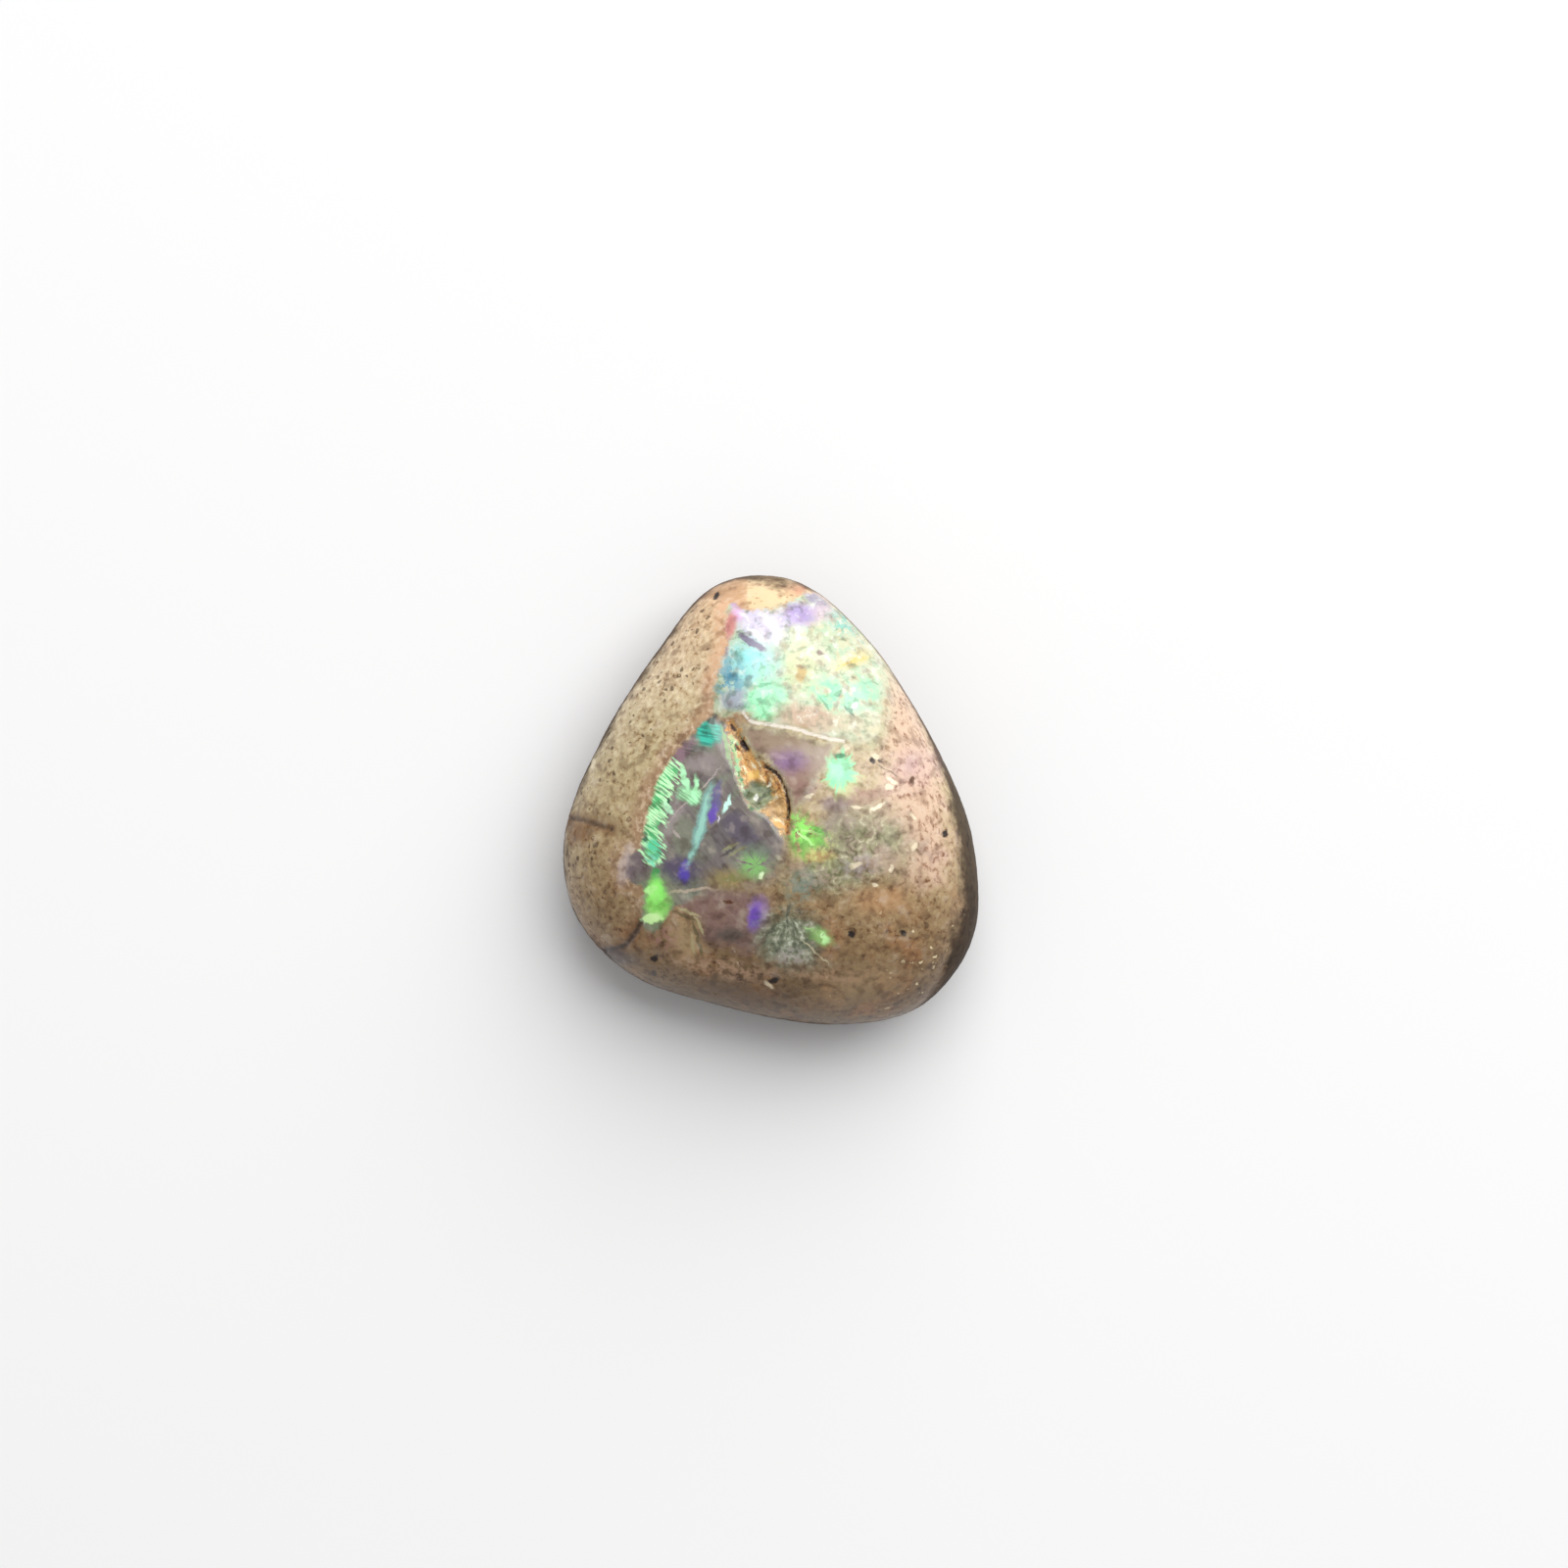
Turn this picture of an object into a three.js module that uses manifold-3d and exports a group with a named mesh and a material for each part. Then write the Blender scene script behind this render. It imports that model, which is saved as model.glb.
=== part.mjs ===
// Boulder opal: a small freeform stone of precious opal in its sandstone and ironstone host,
// ground and polished as one piece. It lies face up on its flat ground back.
// Millimetres, +Z up. The origin is under the middle of the stone, on the plane of the back.
import * as THREE from 'three';
import { mergeVertices } from 'three/addons/utils/BufferGeometryUtils.js';
import Module from 'manifold-3d';

// Driving dimensions
const STONE_HEIGHT = 4.2; // from the ground back to the top of the dome
const GIRDLE_HEIGHT = 1.45; // the widest section, above the back
const BACK_SHARE = 0.8; // size of the flat back against the girdle
const SUMMIT = new THREE.Vector2(0.45, -0.3); // top of the dome, seen from above
const DOME_RISE = STONE_HEIGHT - GIRDLE_HEIGHT;

// The girdle seen from above: a triangle with three round corners, its tip towards +Y.
const GIRDLE_OUTLINE = [
  [1.46, -5.25], [3.45, -4.85], [4.71, -3.25], [4.69, -0.81], [3.63, 1.68], // lower right corner, right side
  [2.22, 3.77], [0.5, 5.14], [-1.29, 5.0], [-2.74, 3.33], // the tip
  [-3.92, 1.46], [-4.82, -0.85], [-4.57, -2.66], // left side
  [-3.34, -4.03], [-1.24, -4.79], // lower left corner and the bottom
];

// How full the dome is: the wall on the right is steep under a flat top, and the left slopes gently.
const FULLNESS = 2.35;
const FULLNESS_SWING = 0.5;
const FULLEST_SIDE = THREE.MathUtils.degToRad(5);
const SHOULDER = 2; // power of the shoulder's curve, where 2 is a quarter ellipse

// Relief of the face, which dies out towards the girdle by this power of the way out.
const RELIEF_FADE = 12;
// Each groove has the points of its middle line, a half width and a depth.
const IRONSTONE_VEIN = {
  line: [[-1.1, 1.85], [-0.78, 1.3], [-0.4, 0.62], [-0.02, 0.12], [0.32, -0.6]],
  halfWidth: 0.36,
  depth: 0.1,
};
const LEFT_SEAM = {
  line: [[-4.85, -0.42], [-4.3, -0.5], [-3.65, -0.72]],
  halfWidth: 0.24,
  depth: 0.13,
};
const LOWER_SEAM = {
  line: [[-4.4, -3.55], [-3.75, -3.55], [-3.3, -3.3], [-2.95, -2.8]],
  halfWidth: 0.26,
  depth: 0.14,
};
const GROOVES = [IRONSTONE_VEIN, LEFT_SEAM, LOWER_SEAM];
// The ledge follows a healed crack: the face below it lies lower, and comes back up over a long run.
const LEDGE = {
  line: [[-0.62, 1.95], [-0.3, 1.74], [0.6, 1.6], [1.65, 1.33]],
  drop: 0.05,
  run: 1.8,
  edge: 0.1,
};
// Pits that the polish left open in the sandstone, each as x, y and radius.
const PITS = [
  [-1.26, 4.72, 0.13], [-1.75, 2.92, 0.11], [-2.55, 0.98, 0.12], [-2.02, 2.05, 0.1], [4.0, -0.74, 0.12],
  [3.27, 0.46, 0.11], [1.82, -3.05, 0.14], [3.03, -3.06, 0.11], [-2.64, -3.64, 0.14], [0.05, -4.14, 0.16],
  [2.32, 0.87, 0.11], [4.05, -3.85, 0.12],
];
const PIT_LIFT = 0.35; // how far a pit's centre lies above the face, as a share of its radius
const PIT_DETAIL = 1; // subdivisions of the ball that cuts a pit

// Mesh density
const SEGMENTS = 104;
const FACE_RINGS = 26;
const FLANK_RINGS = 6;
const RING_CROWDING = 0.6; // 0 spaces the face's rings evenly, and 1 crowds them at the girdle
const OUTLINE_SAMPLES = 1440;

const HOST_ROCK = new THREE.MeshStandardMaterial({ color: 0xa98a63, roughness: 0.32, metalness: 0 });

// Distance from the summit to the girdle in each direction, read off the outline's smooth curve.
function makeReach() {
  const points = GIRDLE_OUTLINE.map(([x, y]) => new THREE.Vector3(x, y, 0));
  const curve = new THREE.CatmullRomCurve3(points, true, 'centripetal');
  const samples = curve.getPoints(OUTLINE_SAMPLES).map((p) => {
    const arm = new THREE.Vector2(p.x, p.y).sub(SUMMIT);
    return { angle: arm.angle(), reach: arm.length() };
  });
  samples.sort((a, b) => a.angle - b.angle);
  const turn = 2 * Math.PI;
  const first = samples[0];
  const last = samples[samples.length - 1];
  const table = [{ ...last, angle: last.angle - turn }, ...samples, { ...first, angle: first.angle + turn }];
  return (angle) => {
    const a = THREE.MathUtils.euclideanModulo(angle, turn);
    const next = table.findIndex((s) => s.angle > a);
    const [low, high] = [table[next - 1], table[next]];
    return THREE.MathUtils.lerp(low.reach, high.reach, (a - low.angle) / (high.angle - low.angle));
  };
}
const reach = makeReach();

// Nearest point of a broken line: its distance, and the side of the line, positive to the left.
function fromLine(x, y, line) {
  let best = { distance: Infinity, side: 1 };
  for (let i = 0; i + 1 < line.length; i += 1) {
    const [ax, ay] = line[i];
    const [dx, dy] = [line[i + 1][0] - ax, line[i + 1][1] - ay];
    const along = THREE.MathUtils.clamp(((x - ax) * dx + (y - ay) * dy) / (dx * dx + dy * dy), 0, 1);
    const distance = Math.hypot(x - ax - along * dx, y - ay - along * dy);
    const side = Math.sign(dx * (y - ay) - dy * (x - ax)) || 1;
    if (distance < best.distance) best = { distance, side };
  }
  return best;
}

// Height of the worked relief against the smooth dome.
function relief(x, y) {
  let height = 0;
  for (const groove of GROOVES) {
    const across = fromLine(x, y, groove.line).distance / groove.halfWidth;
    if (across < 1) height -= groove.depth * (1 - across * across) ** 2;
  }
  const { distance, side } = fromLine(x, y, LEDGE.line);
  if (side < 0 && distance < LEDGE.run) {
    const fall = THREE.MathUtils.smoothstep(distance, 0, LEDGE.edge);
    height -= LEDGE.drop * fall * (1 - THREE.MathUtils.smoothstep(distance, LEDGE.edge, LEDGE.run));
  }
  return height;
}

// Height of the polished face over a point, given as its direction and its share of the way to the girdle.
function faceHeight(angle, share) {
  const fullness = FULLNESS + FULLNESS_SWING * Math.cos(angle - FULLEST_SIDE);
  const dome = DOME_RISE * (1 - share ** fullness) ** (1 / SHOULDER);
  const arm = reach(angle) * share;
  const x = SUMMIT.x + arm * Math.cos(angle);
  const y = SUMMIT.y + arm * Math.sin(angle);
  return GIRDLE_HEIGHT + dome + relief(x, y) * (1 - share ** RELIEF_FADE);
}

// One ring of the stone at a share of the way out from the summit.
function ring(share, heightAt) {
  return Array.from({ length: SEGMENTS }, (_, i) => {
    const angle = (2 * Math.PI * i) / SEGMENTS;
    const arm = reach(angle) * share;
    return new THREE.Vector3(
      SUMMIT.x + arm * Math.cos(angle), SUMMIT.y + arm * Math.sin(angle), heightAt(angle, share));
  });
}

// Rings from the summit down over the girdle to the edge of the flat back.
function stoneRings() {
  const rings = [];
  for (let i = 1; i <= FACE_RINGS; i += 1) {
    const t = i / FACE_RINGS;
    const share = THREE.MathUtils.lerp(t, Math.sin((t * Math.PI) / 2), RING_CROWDING);
    rings.push(ring(share, faceHeight));
  }
  for (let i = 1; i <= FLANK_RINGS; i += 1) {
    const turn = (i / FLANK_RINGS) * (Math.PI / 2);
    const share = BACK_SHARE + (1 - BACK_SHARE) * Math.cos(turn);
    rings.push(ring(share, () => GIRDLE_HEIGHT * (1 - Math.sin(turn))));
  }
  return rings;
}

// A closed skin over the rings, with a point in the middle of the face and one in the middle of the back.
function closedSkin(rings) {
  const top = new THREE.Vector3(SUMMIT.x, SUMMIT.y, faceHeight(0, 0));
  const bottom = new THREE.Vector3(SUMMIT.x, SUMMIT.y, 0);
  const points = [top, ...rings.flat(), bottom];
  const at = (r, i) => 1 + r * SEGMENTS + (i % SEGMENTS);
  const faces = [];
  for (let i = 0; i < SEGMENTS; i += 1) {
    faces.push(0, at(0, i), at(0, i + 1));
    for (let r = 0; r + 1 < rings.length; r += 1) {
      faces.push(at(r, i), at(r + 1, i), at(r + 1, i + 1));
      faces.push(at(r, i), at(r + 1, i + 1), at(r, i + 1));
    }
    faces.push(points.length - 1, at(rings.length - 1, i + 1), at(rings.length - 1, i));
  }
  return new THREE.BufferGeometry().setFromPoints(points).setIndex(faces);
}

// Solids for cutting, to and from three.js geometry
const wasm = await Module();
wasm.setup();

function solidOf(geometry) {
  const bare = new THREE.BufferGeometry().setAttribute('position', geometry.getAttribute('position'));
  if (geometry.index) bare.setIndex(geometry.index);
  const merged = mergeVertices(bare);
  return new wasm.Manifold(new wasm.Mesh({
    numProp: 3,
    vertProperties: new Float32Array(merged.getAttribute('position').array),
    triVerts: new Uint32Array(merged.index.array),
  }));
}

function geometryOf(solid) {
  const mesh = solid.getMesh();
  const geometry = new THREE.BufferGeometry();
  geometry.setAttribute('position', new THREE.BufferAttribute(mesh.vertProperties, 3));
  geometry.setIndex(new THREE.BufferAttribute(mesh.triVerts, 1));
  geometry.computeVertexNormals();
  return geometry;
}

// A pit is bitten out of the face by a small ball whose centre lies just above it.
function pitCutter([x, y, radius]) {
  const arm = new THREE.Vector2(x, y).sub(SUMMIT);
  const share = arm.length() / reach(arm.angle());
  const height = faceHeight(arm.angle(), share) + PIT_LIFT * radius;
  return solidOf(new THREE.IcosahedronGeometry(radius, PIT_DETAIL).translate(x, y, height));
}

function makeStone() {
  let solid = solidOf(closedSkin(stoneRings()));
  for (const pit of PITS) solid = solid.subtract(pitCutter(pit));
  const stone = new THREE.Mesh(geometryOf(solid), HOST_ROCK);
  stone.name = 'opal_stone';
  return stone;
}

const boulderOpal = new THREE.Group();
boulderOpal.add(makeStone());

export default boulderOpal;
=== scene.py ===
# %% [markdown]
# # A polished boulder opal
#
# This lesson finishes one small freeform stone: precious opal that grew in the cracks of a sandstone
# and ironstone boulder, ground to a low dome and polished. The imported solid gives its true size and
# form. Everything the eye enjoys, the grain of the rock, the vein and the play of colour, is made here.

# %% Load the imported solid
import math

import bpy
import numpy as np
from mathutils import Matrix, Vector, noise


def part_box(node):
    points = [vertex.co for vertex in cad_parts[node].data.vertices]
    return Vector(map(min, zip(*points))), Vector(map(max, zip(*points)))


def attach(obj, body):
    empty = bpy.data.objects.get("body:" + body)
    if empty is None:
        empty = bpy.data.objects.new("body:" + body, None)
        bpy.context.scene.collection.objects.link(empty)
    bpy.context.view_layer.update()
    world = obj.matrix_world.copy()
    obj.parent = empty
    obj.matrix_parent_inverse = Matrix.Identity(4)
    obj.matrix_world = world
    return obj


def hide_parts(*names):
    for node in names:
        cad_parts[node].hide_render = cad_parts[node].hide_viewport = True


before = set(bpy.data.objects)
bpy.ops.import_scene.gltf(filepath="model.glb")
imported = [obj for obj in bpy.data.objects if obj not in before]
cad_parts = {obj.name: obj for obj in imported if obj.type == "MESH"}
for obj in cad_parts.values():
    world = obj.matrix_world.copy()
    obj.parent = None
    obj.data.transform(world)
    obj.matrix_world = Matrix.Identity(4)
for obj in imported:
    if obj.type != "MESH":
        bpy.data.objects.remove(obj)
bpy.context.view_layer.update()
MM = 0.001
scene = bpy.context.scene
stone_low, stone_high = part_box("opal_stone")
print("stone, mm:", [round(side / MM, 2) for side in stone_high - stone_low])

# %% [markdown]
# ## An even skin
#
# The solid is faceted, and a polished stone has no flats. A subdivision surface would round the facets,
# but it also pinches where small pits were cut out. So the solid is rebuilt as a fine, even skin by a
# voxel Remesh, and a Smooth modifier rubs the facets away, much as the lapidary's finer wheels do.
# The skin is worked in millimetres, because a voxel can't be finer than a ten thousandth of a unit.

# %% Remesh and smooth
SKIN_STEP = 0.0555
RUBS = 26
RUB_STRENGTH = 0.5


def even_skin(node):
    """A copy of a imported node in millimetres, as a fine even mesh with its facets rubbed away."""
    block = bpy.data.objects.new("stone_block", node.data.copy())
    block.data.transform(Matrix.Scale(1 / MM, 4))
    scene.collection.objects.link(block)
    remesh = block.modifiers.new("even skin", "REMESH")
    remesh.mode = "VOXEL"
    remesh.voxel_size = SKIN_STEP
    rub = block.modifiers.new("rubbed smooth", "SMOOTH")
    rub.factor = RUB_STRENGTH
    rub.iterations = RUBS
    depsgraph = bpy.context.evaluated_depsgraph_get()
    skin = bpy.data.meshes.new_from_object(block.evaluated_get(depsgraph))
    bpy.data.objects.remove(block)
    return skin


skin = even_skin(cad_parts["opal_stone"])
count = len(skin.vertices)
points = np.empty(count * 3)
skin.vertices.foreach_get("co", points)
points = points.reshape(-1, 3)
normals = np.empty(count * 3)
skin.vertex_normals.foreach_get("vector", normals)
normals = normals.reshape(-1, 3)
plan = points[:, :2].copy()
height = points[:, 2].copy()
print("skin:", count, "points,", len(skin.polygons), "faces")

# %% [markdown]
# ## The map of the stone
#
# Seen from above, the face is a map: two windows of opal, a vein of ironstone between them, a cap of pale
# sandstone at the tip. Each country on the map is drawn as an outline of a few points in millimetres.
# It could be painted by hand, but a measured distance to each border does more: the same number can cut
# a groove, soften an edge or lay a coloured band beside it. The distances are kept on the mesh.

# %% Distances on the map
CURVE_STEPS = 6


def smooth_path(corners, closed):
    """A rounded line through a few corners."""
    corners = np.array(corners, float)
    if closed:
        padded = np.vstack([corners[-1:], corners, corners[:2]])
    else:
        padded = np.vstack([2 * corners[0] - corners[1], corners, 2 * corners[-1] - corners[-2]])
    path = []
    for a, b, c, d in zip(padded, padded[1:], padded[2:], padded[3:]):
        for t in np.arange(CURVE_STEPS) / CURVE_STEPS:
            pull = 2 * b + t * (c - a) + t * t * (2 * a - 5 * b + 4 * c - d)
            path.append((pull + t ** 3 * (3 * b - a - 3 * c + d)) / 2)
    path.append(corners[0] if closed else corners[-1])
    return np.array(path)


def distance_to(path):
    """Distance on the map from every point of the skin to a line."""
    nearest = np.full(count, np.inf)
    for start, end in zip(path, path[1:]):
        run = end - start
        along = np.clip((plan - start) @ run / max(run @ run, 1e-12), 0, 1)
        gap = plan - start - along[:, None] * run
        nearest = np.minimum(nearest, np.hypot(gap[:, 0], gap[:, 1]))
    return nearest


def country(corners):
    """Distance to an outline's border, positive inside it."""
    path = smooth_path(corners, closed=True)
    inside = np.zeros(count, bool)
    for (ax, ay), (bx, by) in zip(path, path[1:]):
        if ay != by:
            crosses = (ay > plan[:, 1]) != (by > plan[:, 1])
            inside ^= crosses & (plan[:, 0] < ax + (plan[:, 1] - ay) * (bx - ax) / (by - ay))
    return np.where(inside, 1, -1) * distance_to(path)


def stroke(corners):
    """Distance to a drawn line."""
    return distance_to(smooth_path(corners, closed=False))


print("map helpers:", CURVE_STEPS, "steps from corner to corner")

# %% Draw the countries
fields = {
    "crown_opal": country([
        (-0.94, 4.50), (-0.42, 4.36), (0.31, 4.50), (1.06, 4.82), (2.2, 4.6), (2.75, 3.4), (2.60, 1.84),
        (2.24, 1.27), (1.67, 1.34), (1.15, 1.43), (0.56, 1.61), (0.06, 1.70), (-0.44, 1.79), (-0.62, 1.98),
        (-1.17, 1.84), (-1.30, 2.29), (-1.23, 2.86), (-1.01, 3.54), (-1.05, 4.0),
    ]),
    "wing_opal": country([
        (-1.39, 1.88), (-1.83, 1.45), (-2.23, 1.0), (-2.60, 0.36), (-2.85, -0.5), (-2.98, -1.1),
        (-3.26, -1.28), (-3.37, -1.6), (-3.2, -1.92), (-2.9, -2.06), (-2.95, -2.85), (-2.6, -3.0),
        (-2.19, -2.48), (-1.17, -2.02), (-0.6, -2.02), (-0.03, -1.8), (0.31, -1.23), (0.24, -0.77),
        (-0.07, -0.37), (-0.46, -0.14), (-0.69, 0.29), (-0.87, 0.97), (-0.98, 1.63), (-1.17, 1.88),
    ]),
    "mauve": country([
        (-0.44, 1.72), (0.06, 1.63), (1.15, 1.36), (1.45, 1.27), (1.27, 0.70), (0.99, 0.36), (0.58, -0.25),
        (0.44, -0.1), (0.3, 0.45), (-0.10, 0.88), (-0.42, 1.15), (-0.68, 1.61),
    ]),
    "vein": country([
        (-0.85, 1.85), (-1.0, 1.63), (-0.87, 0.97), (-0.69, 0.29), (-0.46, -0.14), (-0.07, -0.37),
        (0.3, -0.78), (0.48, -0.4), (0.4, 0.0), (0.22, 0.48), (-0.14, 0.84), (-0.46, 1.13),
    ]),
    "cap": country([
        (-0.53, 5.6), (-0.53, 4.95), (-0.53, 4.42), (0.08, 4.40), (0.49, 4.57), (0.81, 4.84), (1.1, 5.3),
    ]),
    "milky_sheen": country([
        (2.52, 2.86), (3.2, 2.9), (3.95, 1.27), (4.13, -0.32), (4.06, -1.68), (3.27, -1.9), (2.7, -0.77),
        (2.47, 0.36), (2.58, 1.72),
    ]),
    "smoky": country([
        (-2.3, -2.2), (-1.6, -2.06), (-0.6, -2.05), (0.1, -2.25), (-0.03, -3.05), (-0.48, -3.45),
        (-1.0, -3.35), (-1.55, -3.3), (-1.7, -2.85), (-2.1, -2.5),
    ]),
    "green_rim": stroke([
        (-2.3, 0.66), (-2.5, 0.35), (-2.6, 0.0), (-2.66, -0.4), (-2.76, -0.85), (-2.7, -1.2),
    ]),
    "fringe": stroke([(-0.95, 1.3), (-0.82, 0.6), (-0.62, 0.1), (-0.4, -0.2)]),
    "vein_crack": np.minimum(
        stroke([(-0.7, 1.38), (-0.56, 1.14)]),
        stroke([(-0.14, 0.75), (0.14, 0.6), (0.32, 0.27), (0.4, -0.1), (0.38, -0.44)]),
    ),
    "healed_crack": stroke([
        (-0.62, 1.98), (-0.44, 1.79), (0.06, 1.70), (0.58, 1.61), (1.15, 1.43), (1.67, 1.34),
    ]),
    "seam": np.minimum(
        stroke([(-2.96, -2.82), (-3.32, -3.32), (-3.75, -3.5), (-4.3, -3.55)]),
        stroke([(-4.75, -0.4), (-4.2, -0.52), (-3.66, -0.68)]),
    ),
}
print("map, mm:", {name: round(float(distances.max()), 2) for name, distances in fields.items()})

# %% [markdown]
# ## Carving
#
# Soft rock polishes away a little faster than opal, so sandstone lies lower and rougher beside it.
# The ironstone vein is crumbly and lies lower still, with open cracks, and the hand-held wheel leaves
# the dome very slightly uneven. Displacement nodes could do this only in the render, so the points of the
# mesh are moved along their normals: the stone then has this relief in every use of the mesh. All values
# are in millimetres. An edge is a pair of distances from a border, and a fade is a pair of heights, between
# which the relief comes in or dies out.

# %% Carve the relief
UNDERCUT = 0.014
UNDERCUT_EDGE = (-0.12, 0.04)
VEIN_DEPTH = 0.07
VEIN_EDGE = (-0.05, 0.16)
CRACK_DEPTH = 0.12
CRACK_HALF_WIDTH = 0.06
SEAM_DEPTH = 0.06
SEAM_HALF_WIDTH = 0.07
SEAM_FADE = (1.3, 1.8)
WHEEL_WAVES = 0.012
WHEEL_FADE = (1.5, 2.2)
FLANK_LUMPS = 0.05
FLANK_FADE = (0.9, 1.9)
BACK_FADE = (0.02, 0.2)
GRIT_SIZE = 0.16
WAVE_SIZE = 2.2
LUMP_SIZE = 0.9


def rise(values, low, high):
    """0 below low, 1 above high, and a smooth step between them."""
    t = np.clip((values - low) / (high - low), 0, 1)
    return t * t * (3 - 2 * t)


def lumps(size, octaves, offset):
    """Even noise of about plus or minus one over the skin, with lumps of a given size in millimetres."""
    shift = Vector((offset, offset, offset))
    return np.array([noise.fractal(Vector(p) / size + shift, 1.0, 2.0, octaves) for p in points])


grit = lumps(GRIT_SIZE, 3, 3.0)
wheel = lumps(WAVE_SIZE, 1, 11.0)
flank = lumps(LUMP_SIZE, 4, 23.0)
opal_edge = np.maximum(fields["crown_opal"], fields["wing_opal"])
hard = rise(np.maximum(opal_edge, fields["mauve"]), *UNDERCUT_EDGE)
off_back = rise(height, *BACK_FADE)
carve = -UNDERCUT * (1 - hard) * (1 + 0.5 * grit)
carve -= VEIN_DEPTH * rise(fields["vein"], *VEIN_EDGE) * (1 + 0.8 * grit)
carve -= CRACK_DEPTH * (1 - rise(fields["vein_crack"], 0, CRACK_HALF_WIDTH))
carve -= SEAM_DEPTH * (1 - rise(fields["seam"], 0, SEAM_HALF_WIDTH)) * rise(height, *SEAM_FADE)
carve += WHEEL_WAVES * (wheel - 1) * rise(height, *WHEEL_FADE)
carve -= FLANK_LUMPS * (0.5 + 0.5 * flank).clip(0, 1) * (1 - rise(height, *FLANK_FADE))
points += normals * (carve * off_back)[:, None]
print("carved, mm: deepest", round(float(-carve.min()), 3), "mean", round(float(-carve.mean()), 3))

# %% Build the stone
skin.vertices.foreach_set("co", (points * MM).ravel())
skin.name = "boulder_opal"
skin.materials.clear()
skin.shade_smooth()
fields["hard"] = hard
for name, distances in fields.items():
    kept = skin.attributes.new(name, "FLOAT", "POINT")
    kept.data.foreach_set("value", distances.astype(np.float32))
skin.update()
stone = bpy.data.objects.new("boulder_opal", skin)
scene.collection.objects.link(stone)
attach(stone, "root")
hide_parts("opal_stone")
print("stone:", len(skin.polygons) * 2, "triangles")

# %% [markdown]
# ## Shader maths as sentences
#
# A polished opal needs many masks, and wiring them by hand hides what they say. One small class wraps a
# socket, so that `1 - mask` or `speckle * 0.3` adds its own Math nodes, and one method adds any other node.

# %% The wire
class Wire:
    """An output socket in the material's node tree, used as a number, a colour or a vector."""

    tree = None

    def __init__(self, socket):
        self.socket = socket

    @classmethod
    def node(cls, kind, settings=None, inputs=None, output=0):
        """Adds a node: its settings first, then the values or links of its sockets. Returns one output."""
        made = cls.tree.nodes.new("ShaderNode" + kind)
        for name, value in (settings or {}).items():
            if name == "stops":
                ramp = made.color_ramp.elements
                ramp.remove(ramp[1])
                for position, tint in value:
                    ramp.new(position).color = tint
                ramp.remove(ramp[0])
            else:
                setattr(made, name, value)
        for name, value in (inputs or {}).items():
            if isinstance(value, Wire):
                cls.tree.links.new(value.socket, made.inputs[name])
            else:
                made.inputs[name].default_value = value
        return cls(made.outputs[output]) if made.outputs else None

    @classmethod
    def maths(cls, operation, *values):
        """A Math node on numbers."""
        return cls.node("Math", {"operation": operation}, dict(enumerate(values)))

    def __add__(self, other):
        return Wire.maths("ADD", self, other)

    def __sub__(self, other):
        return Wire.maths("SUBTRACT", self, other)

    def __mul__(self, other):
        return Wire.maths("MULTIPLY", self, other)

    def __truediv__(self, other):
        return Wire.maths("DIVIDE", self, other)

    def __radd__(self, other):
        return Wire.maths("ADD", other, self)

    def __rsub__(self, other):
        return Wire.maths("SUBTRACT", other, self)

    def __rmul__(self, other):
        return Wire.maths("MULTIPLY", other, self)

    def __rtruediv__(self, other):
        return Wire.maths("DIVIDE", other, self)

    def __neg__(self):
        return 0.0 - self


# %% Words for the finishes
def colour(red, green, blue):
    """A screen colour, 0 to 255, as the linear colour that a shader takes."""
    parts = [part / 255 for part in (red, green, blue)]
    return (*[p / 12.92 if p <= 0.04045 else ((p + 0.055) / 1.055) ** 2.4 for p in parts], 1.0)


def blend(under, over, share):
    """One colour laid over another."""
    return Wire.node("Mix", {"data_type": "RGBA"}, {0: share, 6: under, 7: over}, 2)


def step(value, low, high, top=1.0):
    """0 at low, top at high, and a smooth step between them. Low may be the greater."""
    sockets = {"Value": value, "From Min": low, "From Max": high, "To Max": top}
    return Wire.node("MapRange", {"interpolation_type": "SMOOTHSTEP"}, sockets)


def shade(under, tint, share=1.0):
    """One colour dimmed by another, as by a stain."""
    return Wire.node("Mix", {"data_type": "RGBA", "blend_type": "MULTIPLY"}, {0: share, 6: under, 7: tint}, 2)


def ramp(value, *stops):
    """A colour that runs through several tints as a value rises."""
    return Wire.node("ValToRGB", {"stops": stops}, {0: value})


def cloud(vector, size, detail=2.0, roughness=0.5, output=0):
    """Noise from 0 to 1 whose lumps are about that many millimetres."""
    sockets = {"Vector": vector, "Scale": 1 / size, "Detail": detail, "Roughness": roughness}
    return Wire.node("TexNoise", None, sockets, output)


def cells(vector, size, output):
    """Voronoi cells about that many millimetres across."""
    return Wire.node("TexVoronoi", None, {"Vector": vector, "Scale": 1 / size}, output)


def channel(tint, number):
    """One channel of a colour, as a number."""
    return Wire.node("SeparateColor", None, {0: tint}, number)


def shaken(vector, size, reach):
    """A place moved about by noise, so that what is drawn there has a natural outline."""
    sockets = {0: cloud(vector, size, 2.0, output="Color"), 1: (reach, reach, 0), 2: vector}
    moved = Wire.node("VectorMath", {"operation": "MULTIPLY_ADD"}, sockets)
    return Wire.node("VectorMath", {"operation": "SUBTRACT"}, {0: moved, 1: (reach / 2, reach / 2, 0)})


def field(name):
    """A distance kept on the mesh, in millimetres."""
    return Wire.node("Attribute", {"attribute_name": name}, None, "Fac")


def either(*masks):
    """The strongest of several masks."""
    strongest = masks[0]
    for mask in masks[1:]:
        strongest = Wire.maths("MAXIMUM", strongest, mask)
    return strongest


print("middle grey as a shader takes it:", round(colour(128, 128, 128)[0], 3))

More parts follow.
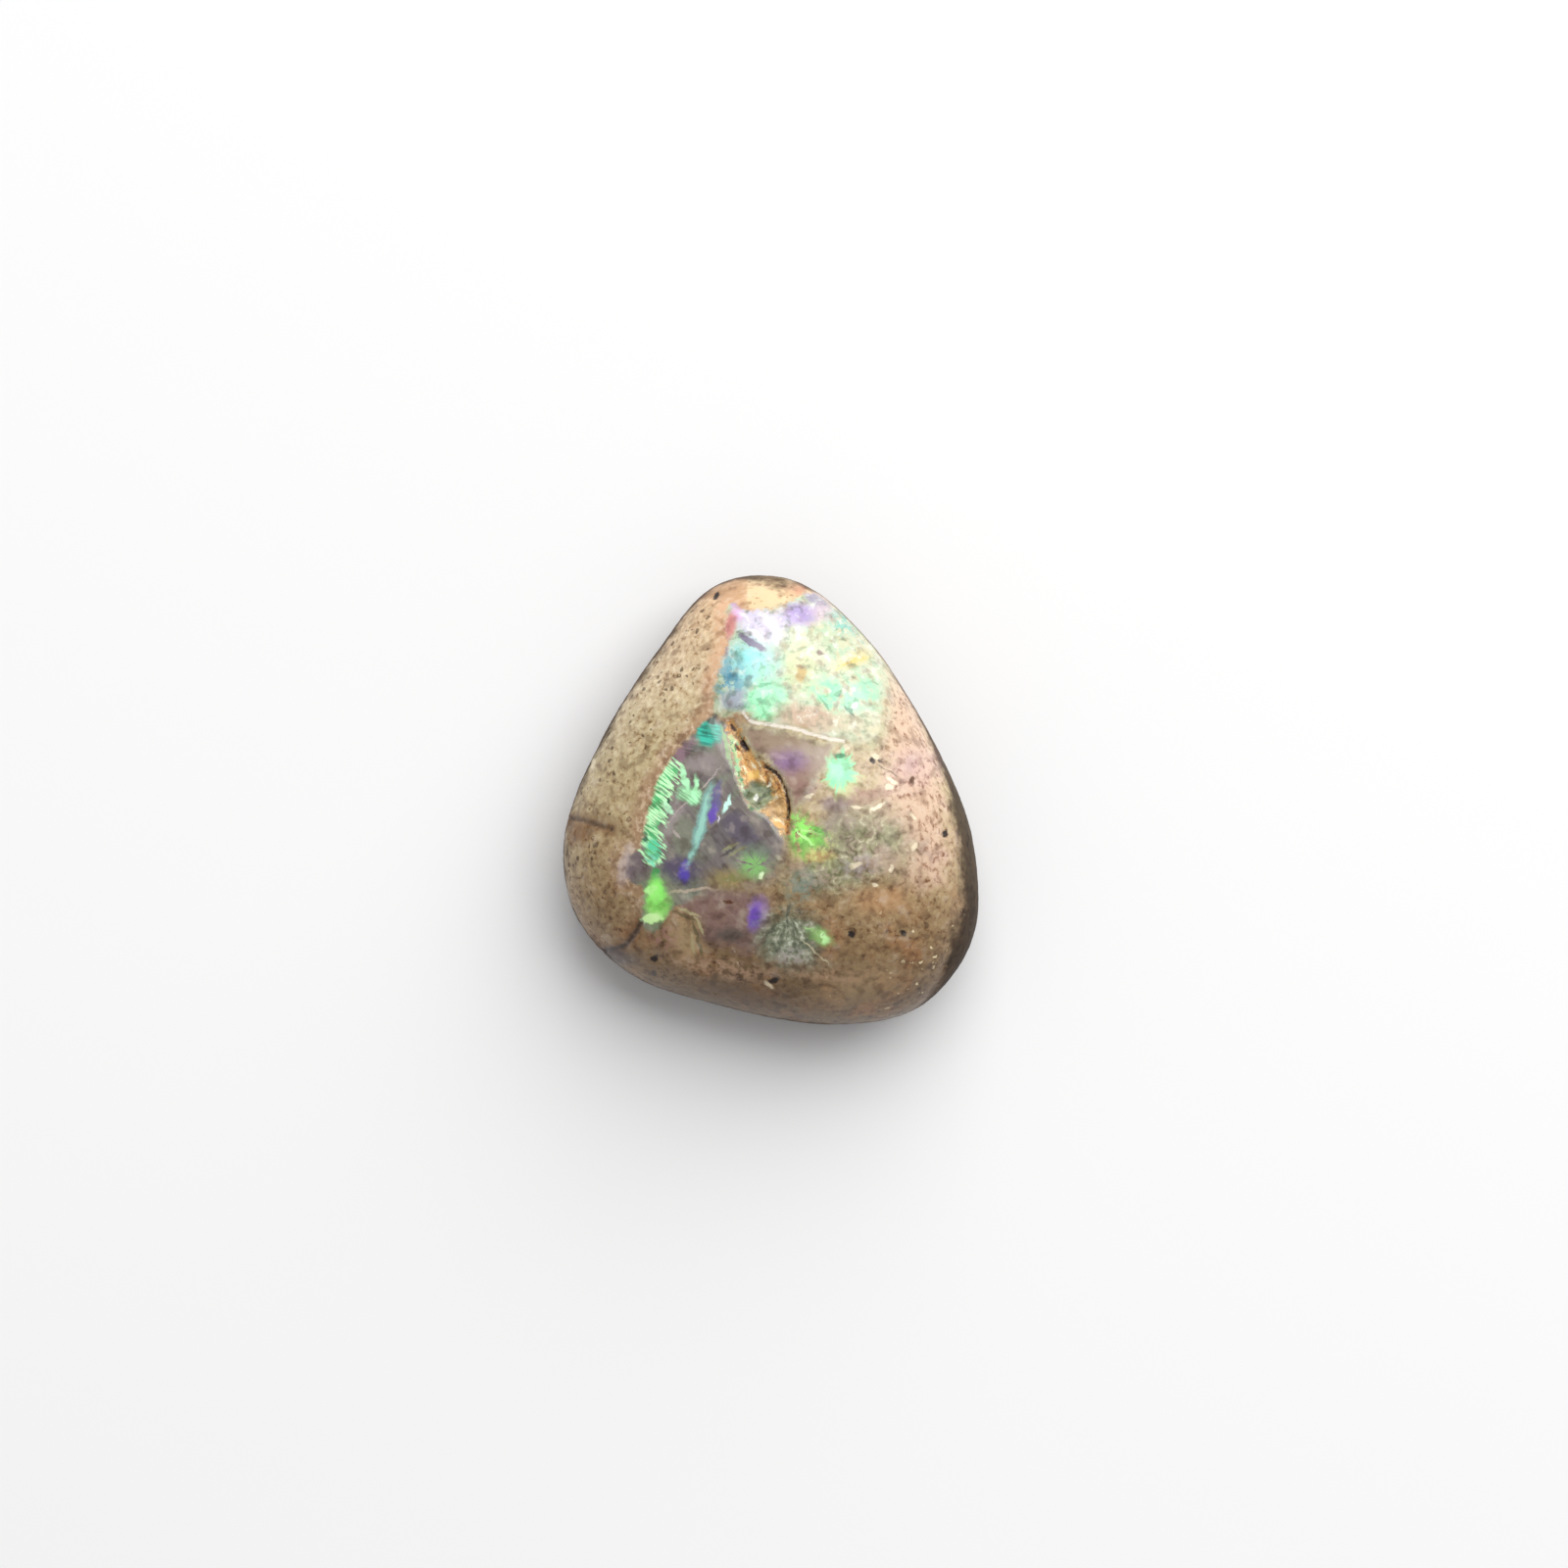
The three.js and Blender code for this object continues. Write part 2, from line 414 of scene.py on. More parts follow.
# %% Where things are
opal_finish = bpy.data.materials.new("boulder opal")
opal_finish.use_nodes = True
opal_finish.node_tree.nodes.clear()
Wire.tree = opal_finish.node_tree
metres = Wire.node("TexCoord", None, None, "Object")
place = Wire.node("VectorMath", {"operation": "SCALE"}, {0: metres, "Scale": 1 / MM})
flat = Wire.node("VectorMath", {"operation": "MULTIPLY"}, {0: place, 1: (1, 1, 0)})
east = Wire.node("SeparateXYZ", None, {0: place}, "X")
north = Wire.node("SeparateXYZ", None, {0: place}, "Y")
up = Wire.node("SeparateXYZ", None, {0: place}, "Z")
wander = cloud(place, 0.55) - 0.5
ragged = cloud(place, 0.12) - 0.5
crushed = shaken(place, 0.16, 0.2)
drawn = shaken(shaken(flat, 0.6, 0.25), 0.12, 0.12)


def tally(what):
    """Says how far the node tree has grown."""
    print(what + ":", len(Wire.tree.nodes), "nodes so far")


tally("places")

# %% [markdown]
# ## Sandstone
#
# The host is a fine sandstone stained by iron: peach towards the tip, tan on the left, brown along the
# bottom.
# The brown along the bottom is partly painted shade, where the lower slope turns away from the light. Its
# grains are about a tenth of a millimetre, and dark specks mark where grains of iron broke out.
# A picture would fix these in one place and one size, so they come from noise and Voronoi cells.

# %% Sandstone colour
bed = cloud(place, 1.5) - 0.5
# Partly painted shade: the sandstone darkens towards the bottom, where the lower slope turns away from the
# light.
sand = ramp(
    north * 0.1 + 0.5 + bed * 0.2,
    (0.05, colour(128, 102, 70)), (0.2, colour(166, 138, 101)), (0.4, colour(198, 176, 136)),
    (0.6, colour(216, 200, 160)), (0.8, colour(242, 222, 188)), (0.95, colour(240, 206, 166)),
)
rust = step(cloud(place, 0.7, 3.0), 0.46, 0.7) * step(bed - north * 0.2, 0.0, 0.8)
sand = blend(sand, colour(186, 130, 84), rust * 0.5)
grain = cloud(crushed, 0.14, 3.0, 0.6)
sand = shade(sand, ramp(
    grain, (0.27, colour(128, 106, 84)), (0.36, colour(190, 172, 152)), (0.44, colour(222, 213, 202)),
    (0.54, colour(234, 230, 222)), (0.66, colour(255, 255, 252)),
))
tally("sandstone")


# %% Specks
def specks(size, share, radius):
    """Irregular grains, positive inside one: the cell's size, the share filled, the radius in cells."""
    lot = channel(cells(crushed, size, "Color"), 1)
    return step(lot, 1 - share, 1.0) * radius - cells(crushed, size, "Distance")


left_crowd = step(cloud(place, 1.0) - east * 0.05 + north * 0.03, 0.36, 0.62)
right_crowd = step(east, 2.0, 3.4) * step(-north, 1.6, 2.8) * 0.8
crowd = 0.15 + 0.85 * either(left_crowd, right_crowd)
dot = specks(0.15, 0.5, 0.46)
speck = step(dot, 0.0, 0.12) * crowd
mottle = cloud(place, 0.15, 2.0, 0.6)
sand = blend(sand, colour(82, 60, 40), speck * 0.75)
sand = blend(sand, colour(206, 180, 140), step(dot, 0.2, 0.3) * step(mottle, 0.46, 0.54) * 0.8)
sparkle = step(specks(0.12, 0.12, 0.45), 0.0, 0.1)
sand = blend(sand, colour(250, 234, 190), sparkle * right_crowd)
tally("specks")

# %% [markdown]
# ## Where the rock changes
#
# Iron has stained a smooth orange band along the opal, the tip is capped with paler sandstone, and the right
# shoulder is milky pink, partly its own colour and partly a painted reflection of the window. The flank and
# the back are ironstone, darker and in layers; on the right side the ironstone climbs higher and turns darker
# as painted shade. These could be materials of their own on groups of faces, but the borders would then be
# as jagged as the mesh.

# %% Bands, cap and shoulder
opal_gap = either(field("crown_opal"), field("wing_opal"))
band = step(opal_gap + wander * 0.35 + ragged * 0.2, -0.5, -0.1) * step(-east, 0.2, 0.9)
band_colour = blend(colour(170, 134, 102), colour(226, 180, 142), step(north + wander, 1.4, 3.2))
band_colour = blend(band_colour, colour(234, 208, 180), step(mottle, 0.48, 0.64) * 0.6)
sand = blend(sand, band_colour, band * step(north, -3.4, -1.6) * 0.85)
cap = step(field("cap") + ragged * 0.1, -0.03, 0.05)
cap_colour = blend(colour(232, 202, 158), colour(208, 154, 120), step(east + wander, 0.25, 0.8))
cap_colour = blend(cap_colour, colour(170, 128, 84), step(specks(0.13, 0.5, 0.46), 0.0, 0.12) * 0.65)
tip_stain = step(north + wander, 4.3, 4.8) * step(-east, 0.4, 0.7)
sand = blend(sand, colour(194, 150, 108), tip_stain * 0.8)
sand = blend(sand, cap_colour, cap)
# The pale pink shoulder is partly the rock's own colour and partly a painted reflection of the window on it.
milky_sheen = step(field("milky_sheen") + wander * 1.2 + ragged * 0.3, -0.35, 0.4)
milky_sheen_colour = blend(colour(222, 190, 164), colour(200, 168, 152), step(wander, 0.0, 0.25))
milky_sheen_colour = shade(milky_sheen_colour, ramp(grain, (0.32, colour(170, 140, 120)), (0.5, colour(255, 255, 255))))
sand = blend(sand, milky_sheen_colour, milky_sheen * 0.9)
tally("bands")

# %% Flank and seams
# Painted shade in part: on the right side the ironstone wall climbs higher than the rock's own flank.
wall_top_and_shade = 1.85 + step(east, 3.0, 4.7) * 1.25 + north * 0.04
wall_and_shade = step(wall_top_and_shade - up + bed * 1.4 + wander * 0.9 + ragged * 0.4, -0.3, 0.35)
pressed = Wire.node("VectorMath", {"operation": "MULTIPLY"}, {0: place, 1: (1, 1, 2.5)})
layers = cloud(pressed, 0.7, 3.0)
ironstone_and_shade = ramp(
    layers, (0.3, colour(94, 70, 47)), (0.45, colour(70, 51, 36)), (0.58, colour(54, 40, 30)),
    (0.7, colour(104, 76, 50)),
)
# Painted shade: the ironstone darkens towards the right side.
ironstone_and_shade = blend(ironstone_and_shade, colour(38, 28, 21), step(east, 3.2, 4.4) * 0.75)
ironstone_and_shade = blend(ironstone_and_shade, colour(30, 22, 18), speck * 0.7)
seam_gap = field("seam") - ragged * 0.16
seam_dark = 0.45 + step(-north, 1.2, 2.4) * 0.4


def seamed(under):
    """Rock with its iron seams: a wide ochre stain, and a dark line where the seam is open."""
    stained = blend(under, colour(136, 98, 58), step(0.3 - seam_gap, 0.0, 0.26) * 0.75)
    return blend(stained, colour(66, 46, 32), step(0.11 - seam_gap, 0.0, 0.1) * seam_dark)


ground = seamed(blend(sand, ironstone_and_shade, wall_and_shade * 0.9))
flank_colour = seamed(blend(sand, ironstone_and_shade, 0.92))
tally("rock")

# %% [markdown]
# ## Touches of colour
#
# Stains, crystals and flashes are laid on like touches of a brush. A touch is an ellipse on a shaken map:
# its tint, middle, half length, half width and turn in degrees, then how full and how soft it is, a texture
# that breaks it up, and the noise of its edge. It can be as thin as a thread, finer than the points of the
# mesh could carry.

# %% One touch
feather = ragged * 0.5 + wander * 0.3


def touch(under, tint, middle, half_length, half_width,
          turn=0, share=1.0, soft=0.7, texture=None, edge=feather):
    """Lays one touch of colour over another colour, with a border roughened by a noise."""
    spun = drawn
    if turn:
        sockets = {"Vector": drawn, "Center": (*middle, 0), "Angle": math.radians(-turn)}
        spun = Wire.node("VectorRotate", {"rotation_type": "Z_AXIS"}, sockets)
    sockets = {
        0: spun,
        1: (1 / half_length, 1 / half_width, 0),
        2: (-middle[0] / half_length, -middle[1] / half_width, 0),
    }
    local = Wire.node("VectorMath", {"operation": "MULTIPLY_ADD"}, sockets)
    away = Wire.node("VectorMath", {"operation": "LENGTH"}, {0: local}, "Value")
    mask = step(away - edge, 1 + soft / 2, 1 - soft / 2, share)
    return blend(under, tint, mask * texture if texture else mask)


def paint(under, touches):
    """Lays touches one after another."""
    for row in touches:
        under = touch(under, *row)
    return under


tally("feather")


# %% Textures that break up a touch
def threads(direction, length, width):
    """Noise drawn out into threads that lie in one direction on the map, in degrees."""
    sockets = {
        "Vector": flat,
        "Rotation": (0, 0, math.radians(direction)),
        "Scale": (length, width, 1),
    }
    combed = Wire.node("Mapping", {"vector_type": "TEXTURE"}, sockets)
    return cloud(combed, 1.0)


def rays(middle, count):
    """Noise drawn out into about that many threads, which leave one point of the map."""
    arm = Wire.node("VectorMath", {"operation": "SUBTRACT"}, {0: drawn, 1: (*middle, 0)})
    across = Wire.node("SeparateXYZ", None, {0: arm}, "X")
    along = Wire.node("SeparateXYZ", None, {0: arm}, "Y")
    angle = Wire.maths("ARCTAN2", along, across)
    reach = Wire.node("VectorMath", {"operation": "LENGTH"}, {0: arm}, "Value")
    polar = Wire.node("CombineXYZ", None, {"X": angle * count / (2 * math.pi), "Y": reach})
    return cloud(polar, 1.0)


slanted = step(threads(-38, 0.45, 0.05), 0.42, 0.55)
level = step(threads(-10, 0.5, 0.045), 0.4, 0.56)
patchy = step(mottle, 0.4, 0.58)
shards = step(channel(cells(crushed, 0.15, "Color"), 0), 0.3, 0.6)
crumb = cloud(place, 0.2, 3.0, 0.65)
haze = cloud(place, 0.3)
blotchy = step(haze, 0.38, 0.6)


def hazed(under, film=0.25):
    """Uneven light and shade, and a thin pale film, over a finished colour."""
    dimmed = shade(under, colour(196, 186, 180), step(0.5 - haze, 0.0, 0.2) * 0.8)
    return blend(dimmed, colour(240, 226, 206), step(haze, 0.55, 0.8) * film)


tally("textures")

# %% [markdown]
# ## The vein
#
# Between the two windows runs a rib of ironstone, gold to brown and streaked along its length. A grey-green
# pebble sits in it, and a pale fringe of opal crystals lines its left side. Its open cracks are carved into
# the mesh, and only their darkness is added here.

# %% Vein colour
crack = step(0.07 - (field("vein_crack") - ragged * 0.08), 0.0, 0.05)
vein = either(step(field("vein") + ragged * 0.5 + wander * 0.15, -0.05, 0.07), crack)
vein_colour = ramp(
    threads(-62, 0.36, 0.1) * 0.5 + crumb * 0.5,
    (0.34, colour(118, 72, 36)), (0.41, colour(190, 128, 68)), (0.46, colour(230, 178, 106)),
    (0.51, colour(212, 158, 94)), (0.56, colour(242, 206, 146)), (0.63, colour(254, 240, 208)),
)
crease = 1 - Wire.maths("ABSOLUTE", cloud(drawn, 0.3) * 2.0 - 1.0)
vein_colour = blend(vein_colour, colour(112, 64, 28), step(crease, 0.93, 0.98) * 0.6)
fringe = step(0.22 - field("fringe") + ragged * 0.4, 0.0, 0.12)
fringe_colour = ramp(
    channel(cells(crushed, 0.13, "Color"), 0), (0.0, colour(84, 140, 96)), (0.3, colour(146, 204, 150)),
    (0.6, colour(194, 212, 150)), (1.0, colour(228, 250, 214)),
)
hollow = colour(66, 34, 16)
vein_colour = paint(blend(vein_colour, fringe_colour, fringe), [
    (colour(112, 122, 88), (-0.24, 0.1), 0.3, 0.32, 0, 1.0, 0.6),
    (colour(76, 84, 56), (-0.3, 0.16), 0.24, 0.26, 0, 0.8, 0.8, shards),
    (colour(152, 160, 120), (-0.22, -0.02), 0.22, 0.2, 0, 0.8, 0.8, patchy),
    (colour(244, 244, 234), (-0.32, 0.06), 0.06, 0.06),
    (colour(240, 236, 214), (-0.04, 0.36), 0.07, 0.05, 40),
    (hollow, (-0.82, 1.66), 0.11, 0.05, -60),
    (hollow, (-0.58, 1.27), 0.15, 0.05, -52),
    (colour(110, 62, 28), (-0.74, 1.2), 0.12, 0.04, -60),
    (colour(240, 216, 180), (-0.56, 1.66), 0.28, 0.04, -73),
    (colour(244, 214, 160), (-0.32, 1.16), 0.28, 0.045, -53),
    (colour(248, 214, 132), (-0.25, 1.02), 0.1, 0.06, -40),
    (colour(238, 192, 104), (-0.38, 0.54), 0.14, 0.1),
    (colour(236, 202, 148), (0.16, -0.28), 0.2, 0.26, 0, 0.7, 1.4),
    (colour(246, 176, 98), (0.12, -0.54), 0.24, 0.05, -30),
    (colour(206, 214, 136), (-0.45, -0.36), 0.1, 0.06, 20),
])
vein_colour = hazed(blend(vein_colour, colour(52, 26, 14), crack * 0.95))
tally("vein")

# %% [markdown]
# ## Opal bodies
#
# Opal here has three bodies: a pale, finely broken crown, a smoky wing that the eye looks into, and a smooth
# mauve window beside the vein. The wing is cut by flat planes, each a little lighter or darker than the next.
# True depth would need a clear body with something inside it, which the photograph doesn't show.

# %% Bodies
opal_depth = step(up + wander * 0.8, 1.5, 2.1)
crown_fade = step(east - north * 0.3, 0.4, 2.0) * 0.35
crown = step(field("crown_opal") + ragged * 0.25, -0.05 - crown_fade, 0.07 + crown_fade) * opal_depth
wing_fade = step(-north, 0.7, 1.6) * step(east, -2.0, -1.0) * 0.25
wing = step(field("wing_opal") + ragged * 0.2, -0.05 - wing_fade, 0.06 + wing_fade)
wing = wing * (1 - vein) * opal_depth
mauve = step(field("mauve") + ragged * 0.3 + wander * 0.2, -0.12, 0.16) * (1 - vein) * (1 - crown)
crown_colour = ramp(
    channel(cells(crushed, 0.2, "Color"), 0), (0.0, colour(164, 204, 172)), (0.25, colour(190, 206, 170)),
    (0.5, colour(208, 208, 172)), (0.75, colour(214, 196, 150)), (1.0, colour(216, 220, 206)),
)
crown_colour = blend(crown_colour, colour(202, 208, 176), 0.5)
mauve_colour = blend(colour(164, 142, 120), colour(154, 118, 106), step(wander - north * 0.3, -0.4, 0.1))
window_colour = blend(crown_colour, mauve_colour, mauve)
plane_colour = ramp(
    channel(cells(flat, 0.9, "Color"), 0), (0.0, colour(98, 88, 98)), (0.35, colour(132, 120, 118)),
    (0.65, colour(150, 138, 132)), (1.0, colour(112, 112, 104)),
)
wing_colour = blend(colour(130, 124, 116), plane_colour, 0.6)
wing_colour = blend(wing_colour, colour(138, 148, 124), step(cloud(flat, 0.7), 0.5, 0.66) * 0.6)
wing_colour = shade(wing_colour, colour(150, 146, 150), step(threads(-52, 0.9, 0.1), 0.5, 0.6) * 0.3)
tally("bodies")

# %% [markdown]
# ## The crown
#
# The crown's flashes pass from lilac at the tip through cyan and mint to cream and gold. They are laid as
# soft touches first. A crinkle of pale and dark flecks then breaks them up like foil, and the sharp marks go
# on top. A thin white line, an old crack that healed with silica, closes the crown below.

# %% Soft flashes of the crown
window_colour = paint(window_colour, [
    (colour(216, 208, 232), (-0.2, 3.97), 0.55, 0.4, -20, 0.95, 0.8),
    (colour(172, 146, 208), (0.66, 4.24), 0.46, 0.26, 8, 0.85, 1.2),
    (colour(150, 140, 166), (1.06, 4.66), 0.4, 0.2, -36, 0.9),
    (colour(210, 186, 198), (1.25, 4.3), 0.3, 0.2, 0, 0.7, 1.2),
    (colour(120, 196, 180), (1.72, 4.08), 0.34, 0.26, -30, 0.95, 1.2, patchy),
    (colour(166, 230, 228), (-0.5, 3.05), 0.62, 0.56, 0, 1.0, 1.3),
    (colour(108, 168, 190), (-0.95, 2.8), 0.36, 0.5, 10, 0.8, 1.2, shards),
    (colour(176, 182, 198), (-0.75, 2.3), 0.36, 0.22, 0, 0.85, 1.0),
    (colour(158, 234, 186), (0.0, 2.78), 0.42, 0.32, 0, 0.85, 1.4, blotchy),
    (colour(164, 248, 192), (-0.08, 2.28), 0.46, 0.44, 0, 1.0, 0.6),
    (colour(216, 204, 146), (1.95, 3.22), 0.46, 0.18, 22, 0.85, 1.2),
    (colour(204, 206, 146), (0.66, 2.95), 0.34, 0.4, 0, 0.7, 1.4),
    (colour(136, 230, 172), (1.4, 2.42), 0.52, 0.38, -25, 1.0, 1.0, blotchy),
    (colour(158, 220, 186), (2.1, 2.4), 0.45, 0.5, 0, 0.9, 1.2, blotchy),
    (colour(196, 164, 132), (0.9, 1.86), 0.75, 0.28, -12, 0.95, 1.0),
    (colour(200, 190, 154), (1.8, 1.72), 0.5, 0.25, 0, 0.8, 1.2),
    (colour(140, 104, 158), (0.4, 0.88), 0.36, 0.24, 0, 0.75, 1.8),
    (colour(192, 166, 176), (0.16, 1.0), 0.22, 0.05, -8, 0.5, 1.2),
])
tally("soft flashes")

# %% Foil and sharp marks of the crown
foil = cloud(drawn, 0.26, 3.0, 0.6)
window_colour = shade(window_colour, colour(190, 204, 190), step(0.47 - foil, 0.0, 0.12) * crown * 0.8)
window_colour = blend(window_colour, colour(248, 252, 238), step(foil, 0.54, 0.66) * crown * 0.42)
window_colour = paint(window_colour, [
    (colour(164, 128, 170), (-0.72, 4.5), 0.2, 0.12, 0, 0.8),
    (colour(230, 188, 230), (-0.78, 4.26), 0.16, 0.2, 20, 0.85, 1.0),
    (colour(216, 138, 136), (-0.96, 3.96), 0.14, 0.3, -10, 0.9, 1.0),
    (colour(164, 120, 130), (-1.08, 3.5), 0.12, 0.22, 0, 0.8, 1.0),
    (colour(246, 244, 250), (-0.28, 3.76), 0.3, 0.07, -33, 0.9),
    (colour(246, 232, 250), (-0.6, 4.2), 0.2, 0.05, -35, 0.8),
    (colour(132, 124, 148), (-0.43, 3.6), 0.36, 0.08, -28, 0.95, 0.6),
    (colour(156, 238, 238), (-0.42, 3.28), 0.2, 0.15, 0, 0.8, 1.0),
    (colour(74, 134, 160), (-0.9, 2.82), 0.16, 0.12, 0, 0.8, 1.0),
    (colour(96, 180, 130), (-0.2, 2.24), 0.13, 0.06, -20, 0.85),
    (colour(104, 186, 140), (-0.14, 2.6), 0.16, 0.05, 5, 0.85),
    (colour(196, 166, 92), (0.69, 2.86), 0.11, 0.17, 0, 0.95),
    (colour(150, 120, 70), (0.68, 3.03), 0.09, 0.04, 0, 0.8),
    (colour(128, 104, 92), (1.15, 3.35), 0.09, 0.06, 0, 0.9),
    (colour(226, 206, 124), (1.75, 3.12), 0.3, 0.03, 32, 0.8),
    (colour(222, 200, 116), (2.0, 3.2), 0.3, 0.035, 18, 0.8),
    (colour(96, 150, 116), (1.22, 2.2), 0.2, 0.03, -55, 0.8),
    (colour(92, 140, 112), (1.8, 2.05), 0.2, 0.035, -50, 0.85),
    (colour(96, 170, 128), (1.5, 2.45), 0.12, 0.05, 20, 0.85),
    (colour(252, 252, 246), (1.9, 2.14), 0.08, 0.07, 0, 0.9),
    # Painted shadow: a dark grey touch under the left end of the healed crack.
    (colour(92, 88, 98), (-0.56, 1.83), 0.14, 0.06, -35, 0.9),
])
healed = step(0.068 - (field("healed_crack") - ragged * 0.06), 0.0, 0.05)
window_colour = blend(hazed(window_colour), colour(252, 242, 228), healed * 0.95)
tally("crown")

# %% [markdown]
# ## The wing
#
# The wing is clear enough to look into. Silk-like threads of green line its left rim, a pale blade and a
# violet streak stand in the middle, and the light comes back out of a lime green corner. The brightest
# flashes also give off a little light of their own: a painted glow, though the stone is no lamp.

# %% Flashes of the wing
olive = colour(156, 156, 114)
wing_colour = paint(wing_colour, [
    (colour(150, 112, 130), (-2.05, 1.06), 0.48, 0.16, 46, 0.8),
    (colour(104, 104, 100), (-1.7, 1.17), 0.32, 0.22, 0, 0.8, 0.8, level),
    (colour(60, 208, 180), (-1.4, 1.55), 0.27, 0.28, 0, 0.95, 0.7),
    (colour(36, 120, 108), (-1.4, 1.5), 0.27, 0.24, 0, 0.7, 0.7, level),
    (colour(44, 70, 60), (-1.36, 1.86), 0.1, 0.1),
    (colour(158, 146, 144), (-1.53, 0.84), 0.36, 0.26, 0, 0.8, 0.8),
    (colour(150, 192, 124), (-1.0, 1.18), 0.5, 0.05, -77, 0.8),
    (colour(168, 156, 154), (-2.2, -0.5), 0.6, 0.16, 68, 0.7, 0.8),
    (colour(136, 140, 120), (-1.95, -0.85), 0.28, 0.44, 0, 0.75, 0.6),
    # Painted glints: two thin pale lines across the wing.
    (colour(194, 180, 176), (-1.72, 0.13), 0.85, 0.02, 46, 0.85),
    (colour(190, 176, 170), (-2.12, -0.76), 0.16, 0.02, -58, 0.9),
    (colour(98, 90, 104), (-0.68, -0.68), 0.5, 0.27, -42, 0.9),
    (colour(122, 138, 120), (-0.34, -1.17), 0.32, 0.2, 0, 0.7, 1.0),
    (olive, (-0.9, -1.08), 0.24, 0.03, 28, 0.8),
    (olive, (-0.78, -1.2), 0.26, 0.03, 32, 0.7),
    (colour(70, 66, 66), (-0.95, -1.2), 0.22, 0.03, 35, 0.7),
    (colour(176, 154, 92), (-0.93, -1.84), 0.42, 0.22, 0, 0.8, 1.6),
    (colour(120, 128, 70), (-0.8, -1.86), 0.34, 0.2, 0, 0.7, 1.6, shards),
    (colour(88, 76, 104), (-2.03, -1.6), 0.42, 0.34, 0, 0.9),
    (colour(90, 70, 184), (-1.98, -1.7), 0.13, 0.17, 0, 0.9, 1.0),
    (colour(96, 84, 186), (-1.9, -1.45), 0.1, 0.1, 0, 0.8, 1.0),
    # Painted glint: a thin pale line along the wing's lower edge.
    (colour(200, 182, 160), (-1.8, -2.07), 0.56, 0.045, 5, 0.85),
    (colour(112, 106, 150), (-1.24, -0.06), 0.48, 0.11, 79, 0.9),
    (colour(110, 82, 190), (-1.3, -0.34), 0.22, 0.09, 79, 0.9, 1.0),
    (colour(226, 222, 238), (-1.16, -0.46), 0.09, 0.016, 78),
    (colour(138, 184, 174), (-1.57, -0.5), 0.92, 0.13, 74, 0.95, 0.6),
    (colour(164, 222, 204), (-1.6, -0.6), 0.76, 0.06, 74, 0.9),
    (colour(204, 184, 178), (-3.3, -1.6), 0.1, 0.42, 0, 0.8),
    (colour(118, 100, 106), (-3.04, -1.6), 0.26, 0.36, 0, 0.9),
])
tally("wing")

# %% The brightest flashes
DARK = (0.0, 0.0, 0.0, 1.0)
rim_gap = field("green_rim") - ragged * 0.2
rim = step(0.2 + slanted * 0.17 - rim_gap, 0.0, 0.1)
spot_rays = step(rays((-0.37, -1.5), 14), 0.36, 0.5)
silk_tint = colour(200, 255, 196)
mint = colour(186, 255, 198)
sea_green = colour(140, 244, 204)
wing_flashes = [
    (mint, (-1.94, 0.5), 0.3, 0.07, -76, 0.95),
    (mint, (-1.71, 0.28), 0.28, 0.06, -88, 0.95),
    (colour(156, 236, 174), (-1.83, 0.13), 0.26, 0.2, 0, 0.75, 1.0),
    (mint, (-1.83, 0.13), 0.26, 0.19, 0, 1.0, 0.8, slanted),
    (colour(196, 255, 210), (-2.34, -0.16), 0.18, 0.07, -55, 0.9),
    (colour(60, 206, 158), (-2.66, -1.13), 0.18, 0.28, 0, 0.9, 0.7, slanted),
    (sea_green, (-2.74, -1.42), 0.16, 0.04, -28, 0.9),
    (sea_green, (-2.68, -1.28), 0.14, 0.03, -30, 0.9),
    (colour(50, 144, 80), (-2.6, -1.68), 0.12, 0.16, 0, 0.9),
    (colour(206, 255, 240), (-1.0, -0.09), 0.21, 0.05, 68, 0.95),
    (colour(132, 192, 108), (-0.37, -1.5), 0.3, 0.26, 0, 0.9, 1.4, spot_rays),
    (colour(228, 255, 204), (-0.21, -1.7), 0.06, 0.07),
    (colour(140, 190, 90), (-2.62, -2.4), 0.42, 0.62, 0, 0.3, 1.6),
    (colour(156, 236, 114), (-2.57, -2.45), 0.28, 0.28, 0, 0.95, 1.0),
    (colour(146, 254, 110), (-2.63, -2.1), 0.19, 0.32, 0, 0.95, 0.9),
    (colour(92, 178, 62), (-2.5, -2.45), 0.22, 0.12, 0, 0.6, 1.0, patchy),
    (colour(190, 255, 160), (-2.74, -2.02), 0.13, 0.08, 20, 0.95),
    (colour(198, 255, 156), (-2.72, -2.72), 0.24, 0.11, 10, 1.0),
]
# Painted glow: the green rim's silk threads and the wing's brightest flashes give off a little light of their
# own.
wing_painted_glow = paint(blend(DARK, silk_tint, rim * slanted), wing_flashes)
wing_colour = blend(wing_colour, colour(88, 204, 124), rim * 0.9)
wing_colour = paint(blend(wing_colour, silk_tint, rim * slanted), wing_flashes)
wing_colour = hazed(paint(wing_colour, [
    (colour(30, 96, 66), (-2.86, -0.84), 0.1, 0.09),
    (colour(28, 84, 58), (-2.32, 0.0), 0.05, 0.05),
    (colour(46, 110, 74), (-2.46, 0.22), 0.16, 0.025, -40, 0.8),
]))
wing_colour = paint(wing_colour, [
    (colour(168, 255, 130), (-2.66, -2.1), 0.12, 0.22, 10, 0.7, 1.0),
    (colour(216, 255, 180), (-2.72, -2.71), 0.24, 0.11, 10, 0.95),
])
tally("bright flashes")

# %% [markdown]
# ## Smoke and stains below the wing
#
# Below the wing the opal thins out into smoke over the rock. Iron drew it into curved stripes on the left,
# and a violet lens lies at its right end.

